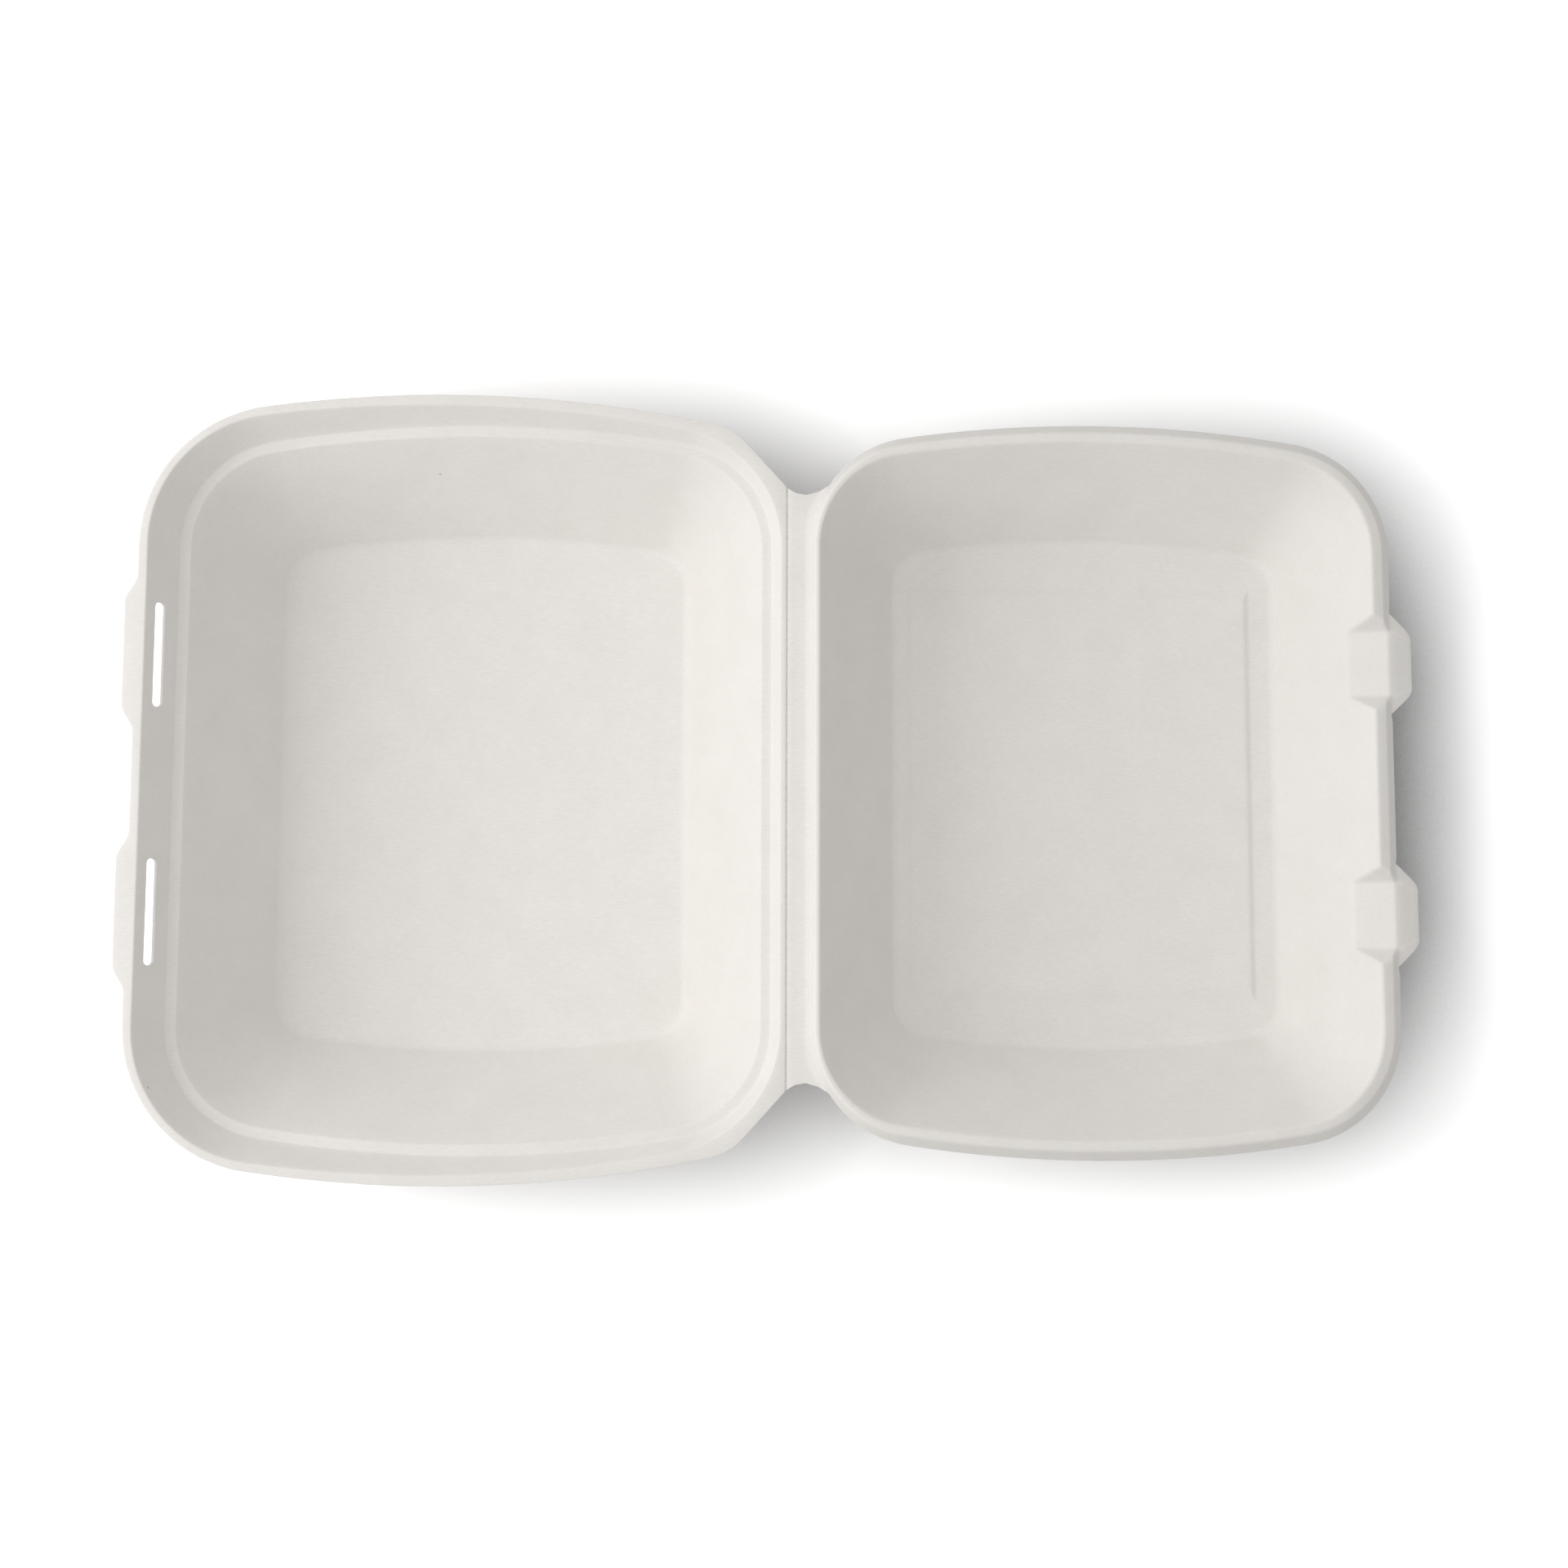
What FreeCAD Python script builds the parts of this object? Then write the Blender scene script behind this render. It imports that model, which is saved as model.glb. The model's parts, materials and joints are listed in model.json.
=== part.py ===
"""Hinged clamshell food container, one pressing of bagasse pulp, lying open on a table.

Two nodes: "base" (deep tray, wide stepped rim, two slots) and "lid" (tray with an inverted-U rim,
two locking tongues and the hinge strip). They meet at the crease that the lid turns on.

Millimetres, +Z up. The origin is the middle of the base's underside. The base reaches towards -X
from the crease and the lid towards +X; the crease runs along Y. Plan sizes of each half are
distances from the crease, so the two halves share them when the lid is folded over.
"""
import FreeCAD
import Part
import math
import os
from collections import namedtuple

V = FreeCAD.Vector

# ---- driving dimensions -------------------------------------------------------------------
wall = 0.9                  # thickness of the pressed pulp
foot_bands = 2              # flats that make up the rounding round a tray's floor
wall_bands = 4              # the wall above it is cut into this many level strips
bow_radius = 385.0          # the end walls bow outwards with this radius

# base tray
mouth_near = 7.8            # crease to the tray mouth, hinge side
mouth_far = 181.5           # crease to the tray mouth, front side
mouth_corner = 30.0
floor_corner = 11.0         # of both trays
mouth_half = 106.4          # half the length of the mouth along the crease
base_depth = 38.5           # ledge down to the tray floor
base_run = 26.5             # how far the tray wall leans in over that depth
base_floor_fillet = 7.0

# base rim: a ledge for the lid, then a wall that leans outwards up to a flat lip
ledge_width = 3.2
skirt_draft = 28.7          # lean from upright of the rim wall and of the lid's rim, degrees
lip_rise = 2.4              # the lip climbs from the hinge to the front, degrees
lip_front = 13.1            # mouth to the trimmed edge, at the front
lip_side = 11.3             # mouth to the trimmed edge, at the two ends
lip_shift = 6.3             # the ends bulge furthest this far in front of the mouth's middle
lip_corner = 45.0
lip_shoulder = 8.0          # rounding where the end edge turns down to the hinge
shoulder_angle = 48.0       # direction of that edge, degrees from the end wall
thumb_reach = 3.6           # thumb tabs stand this far out of the lip
thumb_length = 41.0

# crease
crease_gap = 0.15           # half the slit between the two nodes at the crease
crease_height = 0.35        # turning axis above the top face of the pulp
strip_width = 6.1           # flat strip between the crease and the lid's rim
notch_inset = 18.4          # end of the mouth to the end of the hinge line
notch_radius = 8.0

# lid tray
crest_height = 5.2          # top of the lid's rim above the strip
crest_width = 2.2
crest_round = 1.0           # the rim's two top edges are taken off this far
lid_depth = 38.5            # rim top down to the tray floor
lid_run = 26.0
lid_floor_fillet = 6.0
panel_step = 0.9            # panel of the lid floor, pressed towards the inside
panel_side_margin = 7.0
panel_end_margin = 13.5

# catch: two tongues on the lid and two slots in the base, either side of the middle
catch_offset = 38.3
tongue_root = 31.0
tongue_tip = 18.0
tongue_reach = 8.2
tongue_droop = 22.0         # degrees below the plane of the strip
tongue_tip_round = 2.5
pocket_half = 10.0          # half the width of the shelf behind each tongue
pocket_draft = 30.0
shelf_slope = 22.0          # the shelf falls towards the inside, degrees
slot_length = 31.4

# clearances
seat_clear = 0.3            # rim top to ledge, lid closed
fit_clear = 2.0             # edge of the lid to the base's rim wall, lid closed
slot_clear = 0.35           # tongue to the long edges of its slot, lid closed
table_clear = 0.1           # lid to the table, lid open
sliver = 0.05               # left straight between two roundings that nearly meet

# ---- worked out from them -----------------------------------------------------------------
lip_far = mouth_far + lip_front
lip_half = mouth_half + lip_side
lip_middle = (mouth_near + mouth_far) / 2 + lip_shift
hinge_half = mouth_half - notch_inset
lean = math.tan(math.radians(skirt_draft))
skin = wall / math.cos(math.radians(skirt_draft))      # the wall's width measured level
climb = math.tan(math.radians(lip_rise))
ledge_z = wall + base_depth
crease_z = ledge_z + crest_height + seat_clear - 2 * crease_height
axis_z = crease_z + crease_height
closed_edge = seat_clear + crest_height                # lid's strip above the ledge, lid closed

Outline = namedtuple("Outline", "near far half bow corner")


def grown(shape, d):
    """The same outline moved outwards by d all round, or inwards if d is negative."""
    return Outline(shape.near - d, shape.far + d, shape.half + d, shape.bow + d, shape.corner + d)


mouth = Outline(mouth_near, mouth_far, mouth_half, bow_radius, mouth_corner)
ledge = grown(mouth, ledge_width)
base_floor = grown(mouth, -base_run)._replace(corner=floor_corner)
lid_edge = grown(ledge, closed_edge * lean - fit_clear)._replace(near=strip_width)
strip_corner = lid_edge.corner - skin / 4               # the strip ends inside the rim's wall
crest = grown(lid_edge, -crest_height * lean)
lid_mouth = grown(crest, -crest_width - crest_round * lean)
lid_floor = grown(lid_mouth, -lid_run)._replace(corner=floor_corner)
fold_x = (base_floor.near + base_floor.far) / 2        # crease from the middle of the base's floor
lid_floor_z = crest_height - lid_depth                 # heights in the lid are from its strip


# ---- outlines and blocks. Here x is the distance from the crease ---------------------------
def corner_centre(shape):
    """Centre of the far corner arc, which touches the straight front and the bowed end."""
    middle = (shape.near + shape.far) / 2
    x = shape.far - shape.corner
    reach = math.sqrt((shape.bow - shape.corner) ** 2 - (x - middle) ** 2)
    return V(x, shape.half - shape.bow + reach, 0)


def bowed_outline(shape, z):
    """Closed wire at height z: straight front and back, bowed ends, round corners."""
    middle = (shape.near + shape.far) / 2
    centre = corner_centre(shape)
    hub = V(middle, shape.half - shape.bow, 0)
    out = (centre - hub).normalize()
    touch = hub + out * shape.bow
    half_way = (out + V(1, 0, 0)).normalize()
    front = [V(shape.far, centre.y, 0), centre + half_way * shape.corner, touch]
    back = [V(2 * middle - p.x, p.y, 0) for p in reversed(front)]
    top = front + [V(middle, shape.half, 0)] + back
    low = [V(p.x, -p.y, 0) for p in reversed(top)]
    p = [V(q.x, q.y, z) for q in top + low]
    arcs = [(0, 1, 2), (2, 3, 4), (4, 5, 6), (7, 8, 9), (9, 10, 11), (11, 12, 13)]
    edges = [Part.Arc(p[a], p[b], p[c]).toShape() for a, b, c in arcs]
    edges.insert(3, Part.makeLine(p[6], p[7]))
    edges.append(Part.makeLine(p[13], p[0]))
    return Part.Wire(edges)


def cup(sections):
    """Solid with straight leaning sides through a stack of (outline, height) pairs."""
    return Part.makeLoft([bowed_outline(shape, z) for shape, z in sections], True, True)


def rounded_foot(low, low_z, high, high_z, radius):
    """Stack of sections from a floor outline up to a mouth, the edge between them rounded by bands.

    The corner radius goes on changing over the bands as it does over the wall.
    """
    run = high.far - low.far
    turn = math.atan2(high_z - low_z, run)
    rate = (high.corner - low.corner) / run
    stack = []
    for step in range(foot_bands + 1):
        angle = turn * step / foot_bands
        out = radius * (math.sin(angle) - math.tan(turn / 2))
        shape = grown(low, out)._replace(corner=low.corner + out * rate)
        stack.append((shape, low_z + radius * (1 - math.cos(angle))))
    foot, foot_z = stack[-1]
    for strip in range(1, wall_bands + 1):
        up = strip / wall_bands
        shape = Outline(*[a + (b - a) * up for a, b in zip(foot, high)])
        stack.append((shape, foot_z + (high_z - foot_z) * up))
    return stack


def prism(wire, low_z, high_z):
    """Upright block with the wire's outline, which may lie at any height."""
    face = Part.Face(wire)
    face.translate(V(0, 0, low_z - face.BoundBox.ZMin))
    return face.extrude(V(0, 0, high_z - low_z))


def polygon(points):
    return Part.makePolygon([V(*p) for p in points + points[:1]])


def mirrored(solid):
    return solid.mirror(V(0, 0, 0), V(0, 1, 0))


def notch_centre():
    """Centre of the round end notch, and of the lid's corner, into which the notch runs tangent."""
    hub = V(lid_edge.near + lid_edge.corner, corner_centre(lid_edge).y, 0)
    y = hinge_half + notch_radius
    away = math.sqrt((strip_corner + notch_radius) ** 2 - (y - hub.y) ** 2)
    return V(hub.x - away, y, 0), hub


# ---- base ---------------------------------------------------------------------------------
def lip_wire():
    """Outer edge of the lip, carried on past the crease."""
    shape = Outline(2 * lip_middle - lip_far, lip_far, lip_half, bow_radius, lip_corner)
    centre = corner_centre(shape)
    hub = V(lip_middle, lip_half - bow_radius, 0)
    out = (centre - hub).normalize()
    touch = hub + out * bow_radius
    half_way = centre + (out + V(1, 0, 0)).normalize() * lip_corner
    past = -2 * notch_radius
    end = V(past, hub.y + math.sqrt(bow_radius ** 2 - (past - hub.x) ** 2), 0)
    front = V(lip_far, centre.y, 0)
    crown = V(lip_middle, lip_half, 0)

    def low(p):
        return V(p.x, -p.y, 0)

    return Part.Wire([
        Part.Arc(front, half_way, touch).toShape(),
        Part.Arc(touch, crown, end).toShape(),
        Part.makeLine(end, low(end)),
        Part.Arc(low(end), low(crown), low(touch)).toShape(),
        Part.Arc(low(touch), low(half_way), low(front)).toShape(),
        Part.makeLine(low(front), front),
    ])


def lip_top(x):
    """Height of the lip's top face at distance x from the crease."""
    return crease_z + x * climb


def lip_slab(top_shift, thickness):
    """Wide plate under the climbing plane of the lip."""
    reach = lip_far + 2 * thumb_reach
    side = lip_half + thumb_reach
    z0 = crease_z + top_shift
    z1 = lip_top(reach) + top_shift
    back = z0 - reach * climb
    section = polygon([(-reach, -side, back), (reach, -side, z1),
                       (reach, -side, z1 - thickness), (-reach, -side, back - thickness)])
    return Part.Face(section).extrude(V(0, 2 * side, 0))


def thumb_tab(z):
    """Plan of one rounded tab on the front of the lip, as an upright block."""
    inner = lip_far - lip_corner / 2
    block = Part.makeBox(lip_far + thumb_reach - inner, thumb_length, z, V(inner, -thumb_length / 2, 0))
    ends = [e for e in block.Edges if e.BoundBox.ZLength > z / 2 and e.BoundBox.XMin > lip_far]
    return block.makeFillet(thumb_reach - sliver, ends)


def lip_block(height):
    """Everything inside the trimmed edge of the base, as an upright block from z = 0."""
    block = prism(lip_wire(), 0, height)
    notch, hub = notch_centre()
    turn = math.radians(shoulder_angle)
    along = V(math.cos(turn), math.sin(turn), 0)
    across = V(-math.sin(turn), math.cos(turn), 0)
    middle = V(-notch.x, notch.y, 0)
    touch = middle - across * notch_radius
    far = touch + along * lip_half
    near = touch - along * notch_radius
    wedge = prism(polygon([tuple(near), tuple(far), tuple(far + across * lip_half),
                           tuple(near + across * lip_half)]), 0, height)
    block = block.cut([wedge, mirrored(wedge)])
    shoulders = [e for e in block.Edges
                 if e.BoundBox.ZLength > height / 2 and e.BoundBox.XMin > notch_radius
                 and e.BoundBox.XMax < lip_middle - lip_corner and abs(e.BoundBox.YMin) > hinge_half]
    block = block.makeFillet(lip_shoulder, shoulders)
    punch = Part.makeCylinder(notch_radius, height, middle)
    behind = Part.makeBox(lip_half, 2 * lip_half, height, V(crease_gap - lip_half, -lip_half, 0))
    block = block.cut([punch, mirrored(punch), behind])
    for side in (-1, 1):
        tab = thumb_tab(height)
        tab.translate(V(0, side * catch_offset, 0))
        block = block.fuse(tab)
    return block


def tongue_line(x, side):
    """Height above the ledge of one face of a closed tongue: side 0 is its lower face, 1 the upper."""
    slope = math.radians(tongue_droop)
    return closed_edge + (x - lid_edge.far) * math.tan(slope) + side * wall / math.cos(slope)


def slot_span():
    """Where the closed tongue crosses the rim wall, inside and outside faces, plus the clearance."""
    rise = math.tan(math.radians(tongue_droop))
    inner = (ledge.far + lean * (tongue_line(0, 0))) / (1 - lean * rise)
    outer = (ledge.far + skin + lean * (tongue_line(0, 1))) / (1 - lean * rise)
    return inner - slot_clear, outer + slot_clear


def slot_block(height):
    """Upright punch of one slot: round ends, long along the crease."""
    low, high = slot_span()
    punch = Part.makeBox(high - low, slot_length, height, V(low, -slot_length / 2, 0))
    upright = [e for e in punch.Edges if e.BoundBox.ZLength > height / 2]
    return punch.makeFillet((high - low - sliver) / 2, upright)


def build_base():
    rim_top = lip_top(lip_far) - ledge_z
    height = lip_top(lip_far) + wall
    shell_tray = cup(rounded_foot(grown(base_floor, skin - wall), 0, grown(mouth, skin), ledge_z,
                                  base_floor_fillet + wall))
    shell_rim = cup([(grown(ledge, skin - wall * lean), ledge_z - wall),
                     (grown(ledge, skin + rim_top * lean), ledge_z + rim_top)])
    lip = lip_slab(0, wall)
    outside = shell_tray.fuse([shell_rim, lip]).common(lip_block(height))
    outside = outside.cut(lip_slab(height, height))
    hollow = cup(rounded_foot(base_floor, wall, mouth, ledge_z, base_floor_fillet))
    hollow_rim = cup([(ledge, ledge_z), (grown(ledge, rim_top * lean), ledge_z + rim_top)])
    body = outside.cut([hollow, hollow_rim])
    punches = []
    for side in (-1, 1):
        punch = slot_block(height)
        punch.translate(V(0, side * catch_offset, 0))
        punches.append(punch)
    body = body.cut(punches).removeSplitter()
    body = body.mirror(V(0, 0, 0), V(1, 0, 0))
    body.translate(V(fold_x, 0, 0))
    return body


# ---- lid, drawn with its strip level at z = 0 and then tipped down on to the table ---------
def strip_plate():
    """Flat strip from the crease to the rim, with the round notches at its ends."""
    notch, hub = notch_centre()
    side = math.sqrt(notch_radius ** 2 - (notch.x - crease_gap) ** 2)
    start = V(crease_gap, notch.y - side, 0)
    touch = hub + (notch - hub).normalize() * strip_corner
    low = notch + ((start - notch).normalize() + (touch - notch).normalize()).normalize() * notch_radius

    def below(p):
        return V(p.x, -p.y, 0)

    wire = Part.Wire([
        Part.Arc(start, low, touch).toShape(),
        Part.makeLine(touch, below(touch)),
        Part.Arc(below(touch), below(low), below(start)).toShape(),
        Part.makeLine(below(start), start),
    ])
    return prism(wire, -wall, 0)


def pocket_block(drop, grow):
    """Block above the plane of the shelf behind a tongue: drop and grow thicken it to its outer skin."""
    flare = math.tan(math.radians(pocket_draft))
    height = 2 * pocket_half
    half = pocket_half + grow
    inner = lid_edge.far - lid_run
    tilt = math.radians(shelf_slope)
    length = (lid_edge.far + wall - inner) / math.cos(tilt)
    section = Part.Face(polygon([(0, -half, 0), (0, half, 0), (0, half + height * flare, height),
                                 (0, -half - height * flare, height)]))
    block = section.extrude(V(length, 0, 0))
    block.translate(V(-length, 0, 0))
    block.rotate(V(0, 0, 0), V(0, 1, 0), -shelf_slope)
    block.translate(V(lid_edge.far + wall, 0, wall * math.tan(tilt) - drop))
    return block


def tongue_plate():
    """One tongue: a tapering plate from the rim's edge, drooping outwards."""
    root = wall / 2
    half_root = tongue_root / 2
    half_tip = tongue_tip / 2
    plan = polygon([(-root, -half_root, -wall), (0, -half_root, -wall), (tongue_reach, -half_tip, -wall),
                    (tongue_reach, half_tip, -wall), (0, half_root, -wall), (-root, half_root, -wall)])
    plate = prism(plan, -wall, 0)
    tips = [e for e in plate.Edges if e.BoundBox.ZLength > wall / 2 and e.BoundBox.XMin > tongue_reach / 2]
    plate = plate.makeFillet(tongue_tip_round, tips)
    plate.rotate(V(0, 0, 0), V(0, 1, 0), tongue_droop)
    plate.translate(V(lid_edge.far, 0, 0))
    return plate


def panel_block(low_z, high_z, shrink):
    """Block of the raised panel in the lid's floor."""
    x0 = lid_floor.near + panel_side_margin + shrink
    x1 = lid_floor.far - panel_side_margin - shrink
    half = lid_floor.half - panel_end_margin - shrink
    return Part.makeBox(x1 - x0, 2 * half, high_z - low_z, V(x0, -half, low_z))


def lid_tilt():
    """Degrees that the open lid drops until the far edge of its floor meets the table."""
    radius = lid_floor_fillet + wall
    turn = math.atan2(lid_depth, lid_run)
    across = lid_floor.far + skin - wall - radius * math.tan(turn / 2)
    down = wall - lid_floor_z - radius + crease_height
    drop = axis_z - table_clear - radius
    return math.degrees(math.asin(drop / math.hypot(across, down)) - math.atan2(down, across))


def build_lid():
    brow = crest_height - crest_round
    rim = cup([(grown(lid_edge, wall * lean), -wall), (grown(crest, crest_round * lean), brow),
               (grown(crest, -crest_round * lean), crest_height)])
    under = cup([(grown(lid_edge, -skin + 2 * wall * lean), -2 * wall), (grown(crest, -skin), brow)])
    tray = cup(rounded_foot(grown(lid_floor, skin - wall), lid_floor_z - wall,
                            grown(lid_mouth, skin), brow, lid_floor_fillet + wall))
    tray = tray.cut(panel_block(lid_floor_z - wall, lid_floor_z - wall + panel_step, wall))
    hollow = rounded_foot(lid_floor, lid_floor_z, lid_mouth, brow, lid_floor_fillet)
    hollow = cup(hollow + [(grown(lid_mouth, crest_round), crest_height)])
    hollow = hollow.cut(panel_block(lid_floor_z, lid_floor_z + panel_step, 0))
    strip = strip_plate().cut(prism(bowed_outline(grown(lid_edge, -skin / 2), 0), -2 * wall, wall))

    pockets, jackets, tongues = [], [], []
    for side in (-1, 1):
        offset = V(0, side * catch_offset, 0)
        pocket, jacket, tongue = pocket_block(0, 0), pocket_block(wall, skin), tongue_plate()
        for piece in (pocket, jacket, tongue):
            piece.translate(offset)
        pockets.append(pocket)
        jackets.append(jacket)
        tongues.append(tongue)
    inside = prism(bowed_outline(lid_edge, 0), lid_floor_z, 0)
    aprons = [j.common(inside) for j in jackets]
    body = rim.fuse(aprons).cut(under.cut(jackets))
    body = body.fuse([tray, strip] + tongues).cut([hollow] + pockets)
    body = body.removeSplitter()
    body.translate(V(0, 0, crease_z))
    body.rotate(V(0, 0, axis_z), V(0, 1, 0), lid_tilt())
    body.translate(V(fold_x, 0, 0))
    return body


# ---- write the nodes ----------------------------------------------------------------------
def main():
    os.makedirs("parts", exist_ok=True)
    for name, build in (("base", build_base), ("lid", build_lid)):
        solid = build().Solids[0]
        box = solid.BoundBox
        print(name, solid.ShapeType, len(solid.Solids), "solids", round(solid.Volume), "mm3",
              [round(v, 2) for v in (box.XMin, box.XMax, box.YMin, box.YMax, box.ZMin, box.ZMax)])
        solid.exportStep("parts/%s.step" % name)
    print("crease at x %.3f, axis at z %.3f, lid tilt %.3f degrees" % (fold_x, axis_z, lid_tilt()))
    print("slot from %.2f to %.2f" % slot_span())


main()
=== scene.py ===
import json
import math
from collections import namedtuple

import bmesh
import bpy
import numpy as np
from mathutils import Euler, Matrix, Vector, noise


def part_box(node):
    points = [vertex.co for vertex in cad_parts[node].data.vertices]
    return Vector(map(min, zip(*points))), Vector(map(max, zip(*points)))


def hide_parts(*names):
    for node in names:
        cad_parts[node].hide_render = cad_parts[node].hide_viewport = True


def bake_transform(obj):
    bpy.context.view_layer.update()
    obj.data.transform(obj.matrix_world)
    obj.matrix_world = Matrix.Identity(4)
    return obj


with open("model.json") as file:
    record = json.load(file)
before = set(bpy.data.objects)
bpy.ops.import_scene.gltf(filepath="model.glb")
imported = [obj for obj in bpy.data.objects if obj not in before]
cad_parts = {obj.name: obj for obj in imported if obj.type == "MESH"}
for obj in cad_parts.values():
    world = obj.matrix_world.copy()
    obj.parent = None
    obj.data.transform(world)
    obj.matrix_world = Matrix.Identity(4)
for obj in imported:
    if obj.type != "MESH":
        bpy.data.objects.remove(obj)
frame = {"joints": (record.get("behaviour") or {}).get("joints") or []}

bl_info = {
    "name": "Moulded pulp clamshell box",
    "version": (1, 0, 0),
    "blender": (4, 5, 0),
    "location": "3D View > Sidebar > Pulp box",
    "description": "Builds an open bagasse meal box with its stage, on the CAD frame",
    "category": "Object",
}

MM = 0.001

# Where the CAD puts the hinge line, the lid's tilt and the ends of the base.
HINGE = frame["joints"][0]
FOLD_X = HINGE["pos_m"][0] / MM
AXIS_Z = HINGE["pos_m"][2] / MM
LID_TILT = math.radians(HINGE["range_deg"][1] - 180.0)
BASE_LOW, BASE_HIGH = (Vector(corner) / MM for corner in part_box("base"))
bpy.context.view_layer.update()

# Fixed shape of the pressing, in mm. q is the distance from the crease, z is above the table,
# and in the lid z is above the strip beside the crease, before the lid is tipped.
BOW_RADIUS = 385.0
MOUTH_NEAR, MOUTH_FAR = 7.8, 181.5
MOUTH_HALF, MOUTH_CORNER = 106.4, 30.0
FLOOR_CORNER = 11.0
# how far each floor reaches past an even lean of its walls, at the crease and on the catch side
BASE_REACH_NEAR, BASE_REACH_FAR = 3.2, 2.6
LID_REACH_NEAR, LID_REACH_FAR = -0.6, 4.0
LIP_CORNER, LIP_SHOULDER, LIP_SHIFT = 43.0, 17.0, 6.3
SHOULDER_TURN = math.radians(48.0)
LIP_DROOP = 0.09                        # fall of the lip over its width, on the catch side
LIP_DROOP_FROM, LIP_DROOP_FULL = 150, 190
BASE_BENDS = [0, 0.75, 0.7, 0.9, 4.5, 0]    # radii: rim top, ledge outside and inside, floor
EDGE_DROP, GROOVE = 0.12, 0.16          # rounding of the trimmed edge, and depth of the crease
THUMB_REACH, THUMB_HALF = 3.6, 22.4
THUMB_EASE_IN, THUMB_EASE_OUT = 7.0, 1.2    # where a tab's ends run out, about its half length
CREASE_HEIGHT = 0.35
LID_EDGE_FAR, LID_EDGE_HALF, LID_EDGE_CORNER = 185.71, 110.61, 34.2
LID_EDGE_BOW = BOW_RADIUS + 4.2
NOTCH_RADIUS = 8.0
NOTCH_Q, NOTCH_Y = 5.57, 96.0
CREST_WIDTH = 2.75
CREST_FALL, CREST_WIDER = 1.2, 1.2      # on the catch side the crest falls outwards and is wider
CREST_FALL_FROM, CREST_FALL_FULL = 150, 178
STRIP_BENDS, OTHER_BENDS = (1.1, 1.0), 0.4  # radii of the crest by the strip, and more elsewhere
LID_FLOOR_BEND = 3.8
STRIP_RIM_RUN, STRIP_CREST = 1.0, 1.6   # beside the strip the rim is steeper and its crest narrow
PANEL_NEAR, PANEL_FAR, PANEL_END = 5.0, 9.0, 13.5   # floor left round the raised panel
CATCH_Y = 38.3
CATCH_START, CATCH_END = 16.0, 62.0     # along the front, where the mesh is finer
SLOT_HALF, SLOT_ROUND = 15.7, 1.2
SLOT_PINCH, SLOT_PINCH_RUN = 0.45, 2.0  # mesh rows at a slot's ends, and how they spread again
SLOT_HEIGHTS, RIM_RISE = (9.3, 7.3, 5.3), 13.3      # above the ledge: slot rows, and the rim's top
TONGUE_ROOT, TONGUE_TIP, TONGUE_ROUND = 15.5, 9.0, 2.2
TONGUE_BEND = 0.7
POCKET_HALF, POCKET_SOFT = 10.0, 1.1
POCKET_CHEEK = math.radians(30.0)
POCKET_START, POCKET_FULL = 26.0, 20.0  # pressed from here on, back from the foot of the rim
CREASE_SHADE_HALF, CREASE_SHADE_END = 0.42, 91.0        # painted shade along the crease
CRISP_TURN = math.radians(40)           # cut edges sharper than this stay crisp
RIM_SKIRT = 0.6                         # the lid's rim hangs this far below the strip's level

Outline = namedtuple("Outline", "near far half bow corner")


def linear(code):
    """Linear colour from an sRGB hex code."""
    levels = [int(code[k:k + 2], 16) / 255 for k in (0, 2, 4)]
    return [v / 12.92 if v <= 0.04045 else ((v + 0.055) / 1.055) ** 2.4 for v in levels]


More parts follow.
